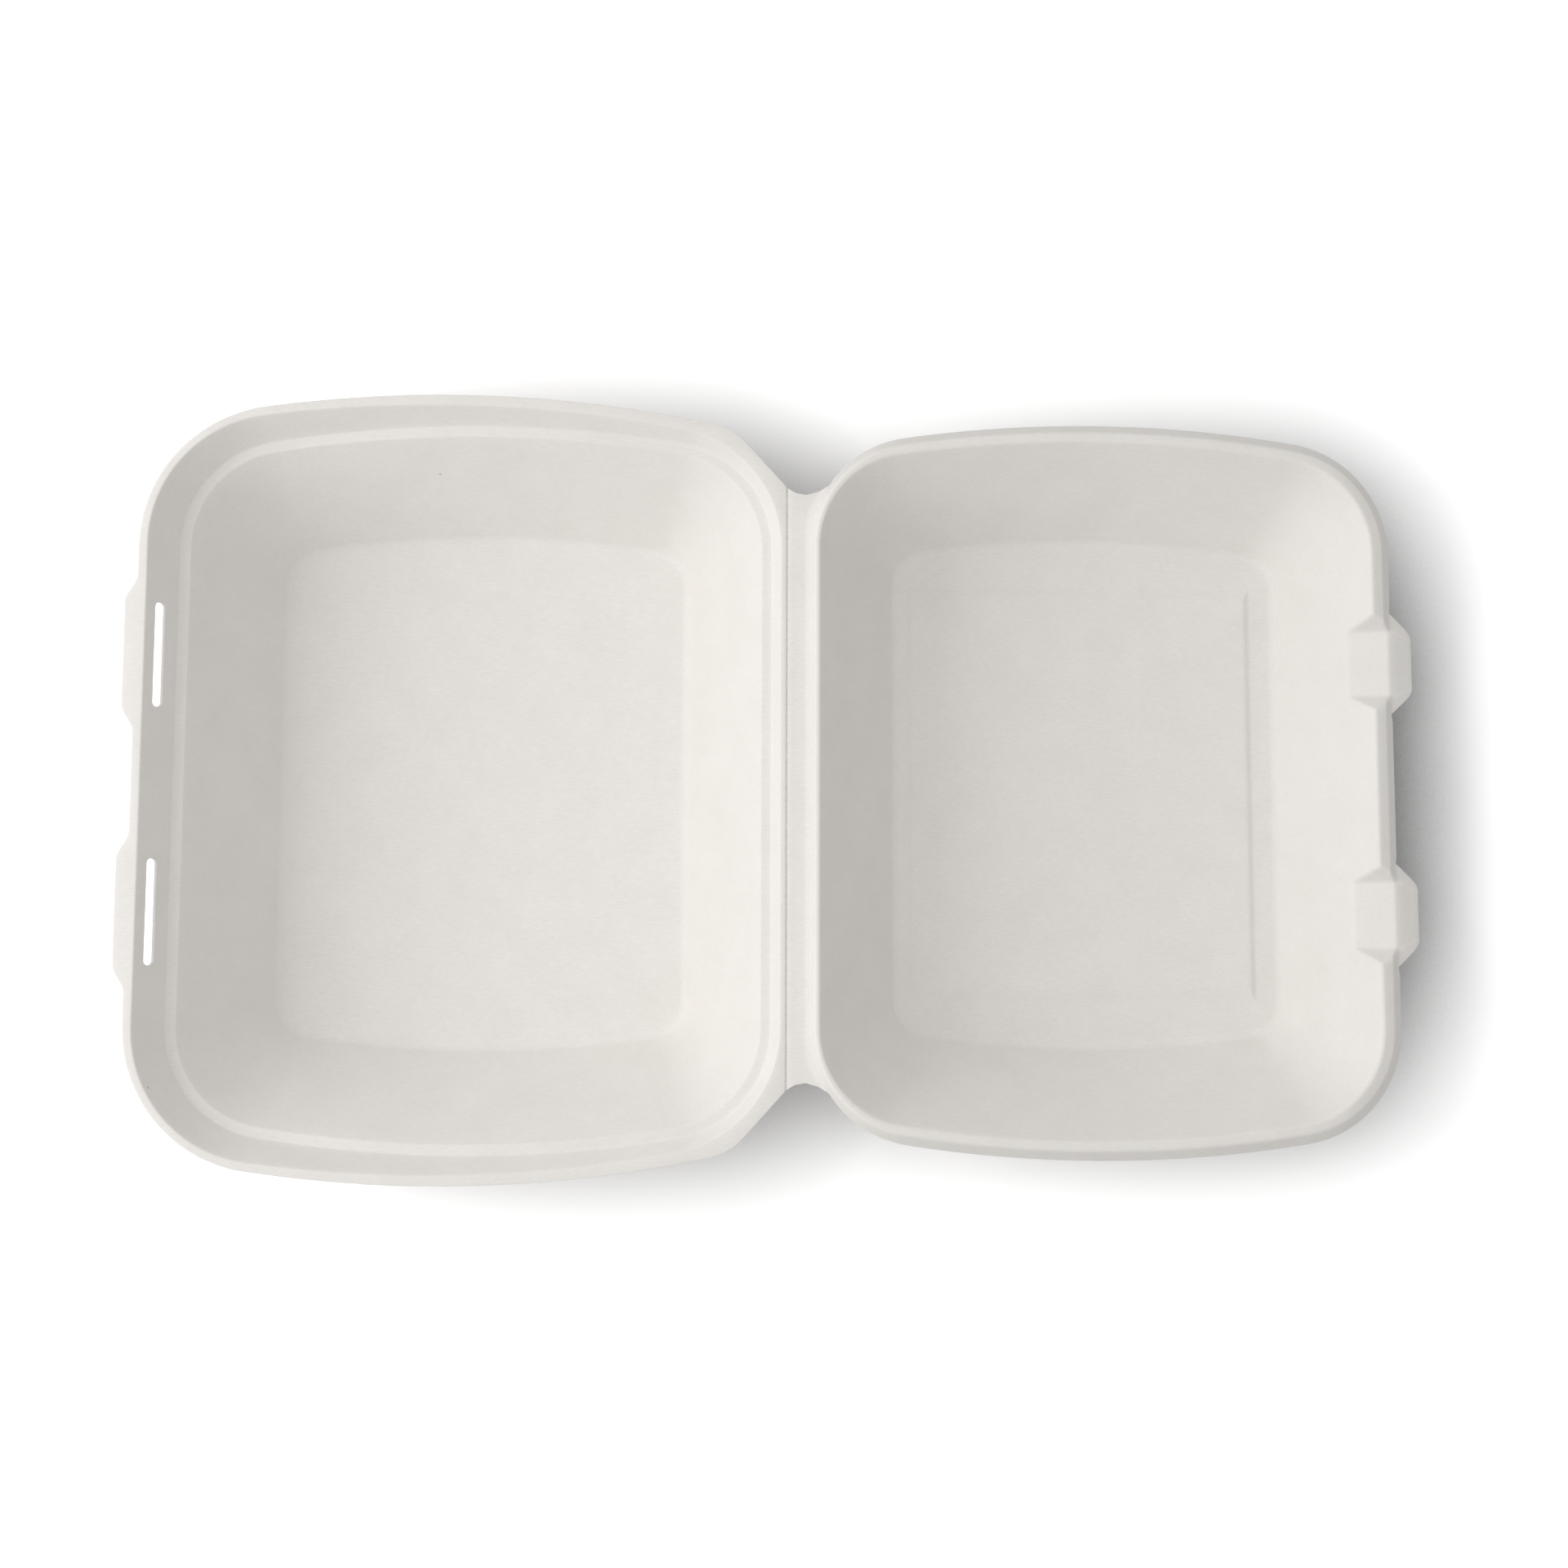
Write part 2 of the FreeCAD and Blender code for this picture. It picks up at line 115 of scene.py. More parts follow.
# ---- settings a user may change ------------------------------------------------------------
class PulpBoxSettings(bpy.types.PropertyGroup):
    wall: bpy.props.FloatProperty(
        name="Pulp thickness", description="Thickness of the pressed sheet",
        default=0.9 * MM, min=0.4 * MM, max=2.0 * MM, unit="LENGTH")
    base_depth: bpy.props.FloatProperty(
        name="Base depth", description="Ledge down to the floor of the base",
        default=38.5 * MM, unit="LENGTH")
    base_run: bpy.props.FloatProperty(
        name="Base wall run", description="How far the wall of the base leans in over its depth",
        default=26.5 * MM, unit="LENGTH")
    ledge_width: bpy.props.FloatProperty(
        name="Ledge width", description="Width of the ledge that carries the closed lid",
        default=3.2 * MM, unit="LENGTH")
    rim_lean: bpy.props.FloatProperty(
        name="Rim lean", description="Lean of the rim wall from upright",
        default=math.radians(28.7), subtype="ANGLE")
    lip_rise: bpy.props.FloatProperty(
        name="Lip rise", description="Climb of the lip from the hinge to the front",
        default=math.radians(2.4), subtype="ANGLE")
    lid_depth: bpy.props.FloatProperty(
        name="Lid depth", description="Rim of the lid down to its floor",
        default=38.5 * MM, unit="LENGTH")
    lid_run: bpy.props.FloatProperty(
        name="Lid wall run", description="How far the wall of the lid leans in over its depth",
        default=26.0 * MM, unit="LENGTH")
    rim_height: bpy.props.FloatProperty(
        name="Lid rim height", description="Height of the lid's rim above the hinge strip",
        default=5.2 * MM, unit="LENGTH")
    strip_width: bpy.props.FloatProperty(
        name="Hinge strip", description="Flat strip between the crease and the lid's rim",
        default=7.0 * MM, unit="LENGTH")
    panel_step: bpy.props.FloatProperty(
        name="Panel step", description="Height of the raised panel in the floor of the lid",
        default=0.9 * MM, unit="LENGTH")
    tongue_reach: bpy.props.FloatProperty(
        name="Tongue reach", description="Length of the two locking tongues",
        default=7.5 * MM, unit="LENGTH")
    tongue_droop: bpy.props.FloatProperty(
        name="Tongue droop", description="Slope of the tongues below the strip",
        default=math.radians(22.0), subtype="ANGLE")
    shelf_slope: bpy.props.FloatProperty(
        name="Shelf slope", description="Fall of the shelf behind each tongue",
        default=math.radians(22.0), subtype="ANGLE")
    unevenness: bpy.props.FloatProperty(
        name="Unevenness", description="Height of the soft waves left by drying",
        default=0.16 * MM, unit="LENGTH")
    pulp_colour: bpy.props.FloatVectorProperty(
        name="Pulp colour", description="Colour of the dried bagasse",
        default=linear("E3E0DC"), size=3, subtype="COLOR", min=0.0, max=1.0)
    speck_colour: bpy.props.FloatVectorProperty(
        name="Speck colour", description="Colour of the bark specks in the pulp",
        default=linear("A3937B"), size=3, subtype="COLOR", min=0.0, max=1.0)
    floor_colour: bpy.props.FloatVectorProperty(
        name="Floor colour", description="Colour of the studio floor",
        default=linear("D2D2D2"), size=3, subtype="COLOR", min=0.0, max=1.0)


# ---- plan outlines -------------------------------------------------------------------------
def grown(shape, d):
    """The outline moved outwards by d all round."""
    return Outline(shape.near - d, shape.far + d, shape.half + d, shape.bow + d, shape.corner + d)


def corner_hub(shape):
    """Centre of the far corner arc, and the centre of the bowed end."""
    middle = (shape.near + shape.far) / 2
    q = shape.far - shape.corner
    rise = math.sqrt((shape.bow - shape.corner) ** 2 - (q - middle) ** 2)
    return np.array([q, shape.half - shape.bow + rise]), np.array([middle, shape.half - shape.bow])


def arc(centre, radius, start, end, steps):
    """Points along an arc, without its first one."""
    turn = np.linspace(start, end, steps + 1)[1:]
    return np.stack([centre[0] + radius * np.cos(turn), centre[1] + radius * np.sin(turn)], 1)


def spaced(points, steps):
    """The polyline divided into equal steps, without its first point."""
    points = np.asarray(points, float)
    run = np.concatenate([[0], np.cumsum(np.linalg.norm(np.diff(points, axis=0), axis=1))])
    at = np.linspace(0, run[-1], steps + 1)[1:]
    return np.stack([np.interp(at, run, points[:, k]) for k in (0, 1)], 1)


def along_front(stops, pitch, fine_from, fine_pitch):
    """Distances from the middle of the front edge, through every stop, finer in the catch area."""
    out = [0.0]
    for low, high in zip([0.0] + stops[:-1], stops):
        step = fine_pitch if low >= fine_from else pitch
        count = max(1, int(math.ceil((high - low) / step - 0.01)))
        out += list(np.linspace(low, high, count + 1)[1:])
    return np.array(out)


CORNER_STEPS = 24           # along each far corner, and from a bowed end to the crease's end
BOW_STEPS = 50
CREASE_CORNER_STEPS = 10    # part of the near corner that looks on to the crease
BACK_STEPS = 34
FRONT_END_STEPS = 3


def front_points(q, front, end):
    rest = np.linspace(front[-1], end, FRONT_END_STEPS + 1)[1:]
    y = np.concatenate([front, rest])
    return np.stack([np.full(len(y), q), y], 1)


def half_ring(shape, front):
    """Upper half of an outline, from the middle of its front round to the middle of its back."""
    hub, bow_hub = corner_hub(shape)
    middle = (shape.near + shape.far) / 2
    lean = math.atan2(hub[1] - bow_hub[1], hub[0] - bow_hub[0])
    near_hub = np.array([2 * middle - hub[0], hub[1]])
    look = math.atan2(NOTCH_Y - near_hub[1], NOTCH_Q - near_hub[0])
    look = min(max(look, math.pi * 0.72), math.pi * 0.85)
    back = np.linspace(hub[1], 0, BACK_STEPS + 1)[1:]
    return np.concatenate([
        front_points(shape.far, front, hub[1]),
        arc(hub, shape.corner, 0, lean, CORNER_STEPS),
        arc(bow_hub, shape.bow, lean, math.pi - lean, BOW_STEPS),
        arc(near_hub, shape.corner, math.pi - lean, look, CORNER_STEPS - CREASE_CORNER_STEPS),
        arc(near_hub, shape.corner, look, math.pi, CREASE_CORNER_STEPS),
        np.stack([np.full(len(back), shape.near), back], 1),
    ])


def closed(half):
    """Whole ring from its upper half."""
    low = half[-2:0:-1] * np.array([1.0, -1.0])
    return np.concatenate([half, low])


def with_height(ring, z):
    return np.column_stack([ring, np.broadcast_to(z, len(ring))])


# ---- cross-sections ------------------------------------------------------------------------
def unit(v):
    return v / np.maximum(np.linalg.norm(v, axis=1, keepdims=True), 1e-9)


def rounded_rows(rows, radii, arc_steps, between):
    """Rings through a chain of rings: every inner one is rounded, and rings are added between.

    between[k] holds the places of added rings, as shares of the way from ring k to ring k + 1.
    """
    chain = [rows[0]]
    start = rows[0]
    for k in range(len(rows) - 1):
        a, b = rows[k], rows[k + 1]
        if k + 2 < len(rows) and np.max(radii[k + 1]) > 0:
            d1, d2 = unit(b - a), unit(rows[k + 2] - b)
            cosine = np.clip((d1 * d2).sum(1, keepdims=True), -1, 1)
            turn = np.arccos(cosine)
            side = unit(d2 - d1 * cosine)
            cut = radii[k + 1] * np.tan(turn / 2)
            begin = b - d1 * cut
        else:
            turn, begin = None, b
        span = np.linalg.norm(b - a, axis=1)
        done = np.linalg.norm(start - a, axis=1)
        reach = np.linalg.norm(begin - a, axis=1)
        for share in between[k]:
            at = np.clip(share * span, done + 0.02, reach - 0.02)
            chain.append(a + unit(b - a) * at[:, None])
        if turn is None:
            chain.append(b)
            start = b
            continue
        for step in range(arc_steps[k + 1] + 1):
            angle = turn * step / arc_steps[k + 1]
            point = begin + radii[k + 1] * (np.sin(angle) * d1 + (1 - np.cos(angle)) * side)
            chain.append(point)
        start = chain[-1]
    return chain


def lip_height(q, s):
    return crease_top() + q * math.tan(s.lip_rise)


def crease_top():
    return AXIS_Z - CREASE_HEIGHT


def smooth(low, high, x):
    t = np.clip((x - low) / (high - low), 0, 1)
    return t * t * (3 - 2 * t)


def soft_min(a, b, blend):
    h = np.clip(0.5 + 0.5 * (b - a) / blend, 0, 1)
    return b * (1 - h) + a * h - blend * h * (1 - h)


def thumb_bulge(y):
    """How far a thumb tab carries the front edge out at y."""
    off = np.abs(np.abs(y) - CATCH_Y)
    return THUMB_REACH * (1 - smooth(THUMB_HALF - THUMB_EASE_IN, THUMB_HALF + THUMB_EASE_OUT, off))


def trimmed_half(front):
    """Upper half of the base's trimmed edge, matched step by step to the rings inside it."""
    middle = (MOUTH_NEAR + MOUTH_FAR) / 2 + LIP_SHIFT
    far = FOLD_X - BASE_LOW.x - THUMB_REACH
    shape = Outline(2 * middle - far, far, BASE_HIGH.y, BOW_RADIUS, LIP_CORNER)
    hub, bow_hub = corner_hub(shape)
    edge = front_points(far, front, hub[1])
    edge[:, 0] += thumb_bulge(edge[:, 1])
    lean = math.atan2(hub[1] - bow_hub[1], hub[0] - bow_hub[0])
    along = np.array([math.cos(SHOULDER_TURN), math.sin(SHOULDER_TURN)])
    across = np.array([-along[1], along[0]])
    foot = np.array([-NOTCH_Q, NOTCH_Y]) - across * NOTCH_RADIUS
    # the shoulder's centre is its radius inside both the end edge and the slanting edge
    inner = BOW_RADIUS - LIP_SHOULDER
    gap = foot - across * LIP_SHOULDER - bow_hub
    b = gap @ along
    back = -b + math.sqrt(b * b - gap @ gap + inner ** 2)
    shoulder = foot - across * LIP_SHOULDER + along * back
    from_bow = math.atan2(*(shoulder - bow_hub)[::-1])
    slant = spaced(np.concatenate([
        [bow_hub + BOW_RADIUS * np.array([math.cos(from_bow), math.sin(from_bow)])],
        arc(shoulder, LIP_SHOULDER, from_bow, math.pi / 2 + SHOULDER_TURN, 12),
        [foot],
        [[0.0, NOTCH_Y - math.sqrt(NOTCH_RADIUS ** 2 - NOTCH_Q ** 2)]],
    ]), CORNER_STEPS - CREASE_CORNER_STEPS)
    crease = np.linspace(slant[-1][1], 0, CREASE_CORNER_STEPS + BACK_STEPS + 1)[1:]
    return np.concatenate([
        edge,
        arc(hub, LIP_CORNER, 0, lean, CORNER_STEPS),
        arc(bow_hub, BOW_RADIUS, lean, from_bow, BOW_STEPS),
        slant,
        np.stack([np.zeros(len(crease)), crease], 1),
    ])


def base_rings(s):
    """Rings of the base's upper face, from its trimmed edge in to its floor, and the slot rows."""
    front = along_front(
        [CATCH_START, 17.8, CATCH_Y - SLOT_HALF, CATCH_Y - SLOT_HALF + SLOT_ROUND,
         CATCH_Y + SLOT_HALF - SLOT_ROUND, CATCH_Y + SLOT_HALF, 58.8, CATCH_END],
        pitch=2.0, fine_from=CATCH_START, fine_pitch=0.9)
    lean = math.tan(s.rim_lean)
    mouth = Outline(MOUTH_NEAR, MOUTH_FAR, MOUTH_HALF, BOW_RADIUS, MOUTH_CORNER)
    floor = grown(mouth, -s.base_run / MM)
    floor = floor._replace(near=floor.near - BASE_REACH_NEAR, far=floor.far + BASE_REACH_FAR,
                           corner=FLOOR_CORNER)
    ledge = grown(mouth, s.ledge_width / MM)
    floor_z = s.wall / MM
    ledge_z = floor_z + s.base_depth / MM
    foot = closed(half_ring(ledge, front))
    out = unit(closed(half_ring(grown(ledge, 1.0), front)) - foot)
    height = np.full(len(foot), 10.0)
    for _ in range(4):          # the lip climbs, so the rim's height and run are found in turns
        rim = foot + out * (height * lean)[:, None]
        height = lip_height(rim[:, 0], s) - ledge_z
    trim = closed(trimmed_half(front))
    trim_z = lip_height(trim[:, 0], s)
    width = np.linalg.norm(trim - rim, axis=1)
    trim_z = trim_z - LIP_DROOP * width * smooth(LIP_DROOP_FROM, LIP_DROOP_FULL, trim[:, 0])
    trim_z = trim_z - EDGE_DROP - GROOVE * (trim[:, 0] < 0.01)
    rows = [
        with_height(trim, trim_z),
        with_height(rim, ledge_z + height),
        with_height(foot, ledge_z),
        with_height(closed(half_ring(mouth, front)), ledge_z),
        with_height(closed(half_ring(floor, front)), floor_z),
    ]
    centre = np.array([(floor.near + floor.far) / 2, 0, floor_z])
    rows.append(centre + (rows[-1] - centre) * 0.8)
    slot_shares = [1 - up / RIM_RISE for up in SLOT_HEIGHTS]
    rings = rounded_rows(
        rows, BASE_BENDS, [0, 4, 3, 4, 7, 0],
        [[], [0.2, *slot_shares, 0.78], [0.5],
         [0.12, 0.25, 0.4, 0.55, 0.7], [0.5]])
    # the trimmed edge is softened over its last half millimetre
    lift = np.array([0, 0, 1.0])
    first = []
    for inside, rise, fill in ((0.18, 0.09, 0.10), (0.6, EDGE_DROP, GROOVE)):
        share = np.clip(inside / np.linalg.norm(rings[1] - rings[0], axis=1), 0, 0.4)[:, None]
        row = rings[0] + (rings[1] - rings[0]) * share + lift * rise
        row[:, 2] += (rings[0][:, 0] < 0.01) * fill
        first.append(row)
    slot_at = 3 + 5 + 1         # past the edge rows, the rounded top of the rim and one more
    rings = rings[:1] + first + rings[1:]
    for share in (0.72, 0.48, 0.26, 0.1):
        rings.append(centre + (rows[-1] - centre) * share)
    return rings, slot_at, centre


def panel_spots(ring, low, high, half):
    """Places on a sharp-cornered rectangle, met by lines from its middle through a given ring."""
    centre = np.array([(low + high) / 2, 0.0])
    reach = np.array([(high - low) / 2, half])
    away = ring[:, :2] - centre
    spot = away * (reach / np.maximum(np.abs(away), 1e-6)).min(1, keepdims=True) / reach
    for corner in ((-1, 1), (-1, -1), (1, 1), (1, -1)):
        spot[np.argmin(np.linalg.norm(spot - corner, axis=1))] = corner
    return centre, reach, spot


def lid_front():
    return along_front(
        [CATCH_START, CATCH_Y - TONGUE_ROOT, 25.0, 29.0, 47.6, 51.6, CATCH_Y + TONGUE_ROOT,
         CATCH_END], pitch=2.0, fine_from=CATCH_START, fine_pitch=0.7)


def lid_rings(s):
    """Rings of the lid's upper face, from the foot of its rim in to its floor, strip at z = 0."""
    front = lid_front()
    lean = math.tan(s.rim_lean)
    high = s.rim_height / MM
    edge = Outline(s.strip_width / MM, LID_EDGE_FAR, LID_EDGE_HALF, LID_EDGE_BOW, LID_EDGE_CORNER)
    crest = grown(edge, -high * lean)
    crest = crest._replace(near=edge.near + STRIP_RIM_RUN)
    mouth = grown(crest, -CREST_WIDTH)
    mouth = mouth._replace(near=crest.near + STRIP_CREST, far=mouth.far - CREST_WIDER)
    floor = grown(mouth, -s.lid_run / MM)
    floor = floor._replace(near=floor.near - LID_REACH_NEAR,
                           far=floor.far + LID_REACH_FAR + CREST_WIDER, corner=FLOOR_CORNER)
    floor_z = high - s.lid_depth / MM
    outer = closed(half_ring(crest, front))
    fall = CREST_FALL * smooth(CREST_FALL_FROM, CREST_FALL_FULL, outer[:, 0])
    rows = [
        with_height(closed(half_ring(edge, front)), 0.0),
        with_height(outer, high - fall),
        with_height(closed(half_ring(mouth, front)), high),
        with_height(closed(half_ring(floor, front)), floor_z),
    ]
    rows.append(with_height(closed(half_ring(grown(floor, -2.4), front)), floor_z))
    centre = np.array([(floor.near + floor.far) / 2, 0, floor_z + s.panel_step / MM])
    bends = [radius + OTHER_BENDS * smooth(10, 30, outer[:, :1]) for radius in STRIP_BENDS]
    rings = rounded_rows(
        rows, [0, *bends, LID_FLOOR_BEND, 0], [0, 5, 5, 7, 0],
        [[0.2, 0.4, 0.6], [0.5], [0.06, 0.09, 0.12, 0.15, 0.18, 0.21, 0.24, 0.27, 0.3, 0.34,
                                  0.4, 0.5, 0.65], []])
    step = s.panel_step / MM
    middle, reach, spot = panel_spots(rows[-1], floor.near + PANEL_NEAR, floor.far - PANEL_FAR,
                                      floor.half - PANEL_END)
    # the step is crisp along the sides and fades out slowly towards the ends
    for margin, rise in ((1.4, 0.0), (0.9, 0.06), (0.4, 0.25), (0.0, 0.5), (-0.4, 0.75),
                         (-1.0, 0.94), (-1.7, 1.0)):
        grow = np.array([margin, 0.6 - 2.2 * (1.4 - margin)])
        rings.append(with_height(middle + spot * (reach + grow), floor_z + rise * step))
    inner = rings[-1]
    for share in (0.8, 0.6, 0.4, 0.2, 0.08):
        rings.append(centre + (inner - centre) * share)
    return rings, centre


def sink_pockets(points, s):
    """Presses the two shelves behind the tongues into the rim."""
    q, y, z = points[:, 0], points[:, 1], points[:, 2]
    off = np.abs(np.abs(y) - CATCH_Y)
    shelf = (q - LID_EDGE_FAR) * math.tan(s.shelf_slope) + 0.1
    cheek = np.maximum(off - POCKET_HALF, 0) / math.tan(POCKET_CHEEK)
    pressed = soft_min(z, shelf + cheek, POCKET_SOFT)
    near = smooth(LID_EDGE_FAR - POCKET_START, LID_EDGE_FAR - POCKET_FULL, q)
    near = near * (off < POCKET_HALF + 8)
    points[:, 2] = z + (np.minimum(pressed, z) - z) * near
    return points


# ---- one sheet out of both halves ----------------------------------------------------------
class Sheet:
    """Points and faces of the upper face of the pressing, in mm."""

    def __init__(self):
        self.points = []
        self.faces = []

    def add_row(self, row):
        start = len(self.points)
        self.points += [tuple(p) for p in row]
        return list(range(start, start + len(row)))

    def join(self, a, b, around=False, skip=None):
        """Faces between two rows of points."""
        count = len(a) if around else len(a) - 1
        for k in range(count):
            m = (k + 1) % len(a)
            if skip is None or not skip(k, m):
                self.faces.append((a[k], a[m], b[m], b[k]))

    def close(self, row, centre):
        """Fan of faces from the last ring to the middle."""
        hub = self.add_row([centre])[0]
        for k in range(len(row)):
            self.faces.append((row[k], row[(k + 1) % len(row)], hub))


def base_to_frame(points):
    return np.column_stack([FOLD_X - points[:, 0], points[:, 1], points[:, 2]])


def lid_to_frame(points):
    """Lid points drawn with the strip level, tipped down about the hinge line."""
    q, up = points[:, 0], points[:, 2] + crease_top() - AXIS_Z
    return np.column_stack([FOLD_X + q * math.cos(LID_TILT) + up * math.sin(LID_TILT), points[:, 1],
                            AXIS_Z - q * math.sin(LID_TILT) + up * math.cos(LID_TILT)])


def crease_columns(ring):
    """Columns of a ring that look on to the crease."""
    back = (len(ring) + 2) // 2 - 1
    side = CREASE_CORNER_STEPS + BACK_STEPS
    return list(range(back - side, back + side + 1))


def shape_slots(rings, slot_at):
    """Draws the slot rows together at the ends of each slot, and says which columns are open."""
    top, middle, bottom = (rings[slot_at + k] for k in range(3))
    inside = SLOT_HALF - np.abs(np.abs(middle[:, 1]) - CATCH_Y)
    at_front = middle[:, 0] > MOUTH_FAR
    bulge = np.sqrt(np.clip(1 - (1 - inside / SLOT_ROUND) ** 2, 0, 1))
    share = np.where(inside > 0, np.where(inside < SLOT_ROUND, np.maximum(bulge, SLOT_PINCH), 1.0),
                     SLOT_PINCH + (1 - SLOT_PINCH) * smooth(0, SLOT_PINCH_RUN, -inside))
    share = np.where(at_front, share, 1.0)[:, None]
    rings[slot_at] = middle + (top - middle) * share
    rings[slot_at + 2] = middle + (bottom - middle) * share
    return at_front & (inside > -0.01)


def tongue_rows(root, s):
    """Rows of one tongue, from the foot of the rim out to its rounded tip."""
    reach = s.tongue_reach / MM
    corner = np.array([reach, TONGUE_TIP])
    slant = unit(np.array([[0, TONGUE_ROOT]]) - corner)[0]
    inward = np.array([0.0, -1.0])
    t = np.linspace(0, 1, 9)[:, None]
    first, last = corner + slant * TONGUE_ROUND, corner + inward * TONGUE_ROUND
    bend = first * (1 - t) ** 2 + corner * 2 * t * (1 - t) + last * t ** 2
    path = np.concatenate([bend, bend[::-1] * np.array([1, -1])])[::-1]
    tip = np.concatenate([path[:1], spaced(path, len(root) - 1)])
    middle = math.copysign(CATCH_Y, root[0][1])
    rows = []
    for share in (0.12, 0.35, 0.6, 0.8, 0.93, 0.98, 1.0):
        out = tip[:, 0] * share
        side = (root[:, 1] - middle) * (1 - share) + tip[:, 1] * share
        down = math.tan(s.tongue_droop) * (out - TONGUE_BEND * (1 - np.exp(-out / TONGUE_BEND)))
        soft = 0.12 * smooth(0.93, 1.0, share)
        rows.append(np.column_stack([root[:, 0] + out, middle + side, root[:, 2] - down - soft]))
    return rows


def strip_rows(root, crease, width):
    """Rows of the flat hinge strip between the crease and the foot of the lid's rim."""
    notch = np.array([NOTCH_Q, NOTCH_Y])
    begin, end = crease[0, :2] - notch, root[0, :2] - notch
    turn = [math.atan2(begin[1], begin[0]), math.atan2(end[1], end[0])]
    # the ends follow the notch, and the seven columns next to them are drawn along
    ends = np.minimum(np.arange(len(root)), np.arange(len(root))[::-1])
    pull = np.clip(1 - ends / 7.0, 0, 1) ** 2
    rows = []
    for out, drop in ((0.2, 0.17), (0.6, 0.02), (1.6, 0.0), (3.2, 0.0), (5.2, 0.0)):
        share = out / np.maximum(root[:, 0], 1e-6)
        share = np.minimum(share, out / width)
        row = crease + (root - crease) * share[:, None]
        angle = turn[0] + (turn[1] - turn[0]) * (out / width)
        on_arc = notch + NOTCH_RADIUS * np.array([math.cos(angle), math.sin(angle)])
        shift = on_arc - row[0, :2]
        row[:, 0] += shift[0] * pull
        row[:, 1] += shift[1] * pull * np.sign(row[:, 1])
        row[:, 2] = -drop
        rows.append(row)
    return rows


def uneven(points, height):
    """The sheet lifted and lowered a little by the soft waves that drying leaves."""
    out = points.copy()
    for k, (x, y, z) in enumerate(points):
        wave = noise.noise(Vector((x / 26, y / 26, z / 26)))
        wave += 0.5 * noise.noise(Vector((x / 9 + 7, y / 9, z / 9)))
        wave += 0.22 * noise.noise(Vector((x / 3.2, y / 3.2 + 3, z / 3.2)))
        out[k, 2] = z + height * wave
    return out


def fray(ring, inner):
    """The trimmed edge wanders a little either way, but stays straight along the crease."""
    away = unit(ring - inner)
    for k, p in enumerate(ring):
        wander = 0.10 * noise.noise(Vector((p[0] / 4, p[1] / 4, 5)))
        wander += 0.07 * noise.noise(Vector((p[0] / 1.1, p[1] / 1.1, 9)))
        if p[0] > 0.01:
            ring[k] = p + away[k] * (wander - 0.1)
    return ring


def pressed_sheet(s):
    """The whole upper face: base, hinge strip, lid and tongues in one sheet."""
    sheet = Sheet()
    rings, slot_at, base_centre = base_rings(s)
    open_columns = shape_slots(rings, slot_at)
    rings[0] = fray(rings[0], rings[3])
    rows = [sheet.add_row(base_to_frame(ring)) for ring in rings]
    for k in range(len(rows) - 1):
        cut = k in (slot_at, slot_at + 1)
        skip = (lambda a, b: open_columns[a] and open_columns[b]) if cut else None
        sheet.join(rows[k], rows[k + 1], around=True, skip=skip)
    sheet.close(rows[-1], base_to_frame(base_centre[None])[0])
    crease_ring = [rows[0][k] for k in crease_columns(rings[0])]
    crease_y = rings[0][crease_columns(rings[0]), 1]

    lid, lid_centre = lid_rings(s)
    lid = [sink_pockets(ring, s) for ring in lid]
    foot = lid[0]
    strip = crease_columns(foot)
    off = np.abs(np.abs(foot[:, 1]) - CATCH_Y)
    on_tongue = (foot[:, 0] > LID_EDGE_FAR - 0.01) & (off < TONGUE_ROOT + 0.01)
    held = on_tongue.copy()
    held[strip] = True
    near = np.array([min(abs(k - m) for m in np.flatnonzero(held)) for k in range(len(foot))])
    down = RIM_SKIRT * smooth(0, 4, near)
    away = unit(foot - lid[2])
    lid[0] = foot + away * (down / np.maximum(-away[:, 2], 0.3))[:, None]
    rows = [sheet.add_row(lid_to_frame(ring)) for ring in lid]
    for k in range(len(rows) - 1):
        sheet.join(rows[k], rows[k + 1], around=True)
    sheet.close(rows[-1], lid_to_frame(lid_centre[None])[0])

    crease_z = np.full(len(strip), -EDGE_DROP - GROOVE)
    crease = np.column_stack([np.zeros(len(strip)), crease_y, crease_z])
    last = crease_ring
    for row in strip_rows(lid[0][strip], crease, s.strip_width / MM):
        indices = sheet.add_row(lid_to_frame(row))
        sheet.join(last, indices)
        last = indices
    sheet.join(last, [rows[0][k] for k in strip])

    for side in (1, -1):
        columns = [k for k in np.flatnonzero(on_tongue) if foot[k, 1] * side > 0]
        columns.sort(key=lambda k: foot[k, 1])
        last = [rows[0][k] for k in columns]
        for row in tongue_rows(lid[0][columns], s):
            indices = sheet.add_row(lid_to_frame(row))
            sheet.join(last, indices)
            last = indices
    return sheet


# ---- materials -----------------------------------------------------------------------------
def add_node(tree, kind, settings=None, **inputs):
    """A node with its settings, and its inputs set or linked."""
    made = tree.nodes.new(kind)
    for name, value in (settings or {}).items():
        setattr(made, name, value)
    for name, value in inputs.items():
        socket = made.inputs[int(name[1:])] if name[0] == "i" and name[1:].isdigit() else \
            made.inputs[name.replace("_", " ")]
        if isinstance(value, bpy.types.NodeSocket):
            tree.links.new(value, socket)
        else:
            socket.default_value = value
    return made


PRESSED_RELIEF, WIRE_RELIEF, CUT_RELIEF = 0.035, 0.055, 0.12    # mm, on the three finishes
CREASE_SHADE_LEVEL = 0.76                       # painted shade along the crease, against the pulp's own colour


def per_size(size_mm):
    """Texture scale that gives marks of about this size."""
    return 1.0 / (size_mm * MM)


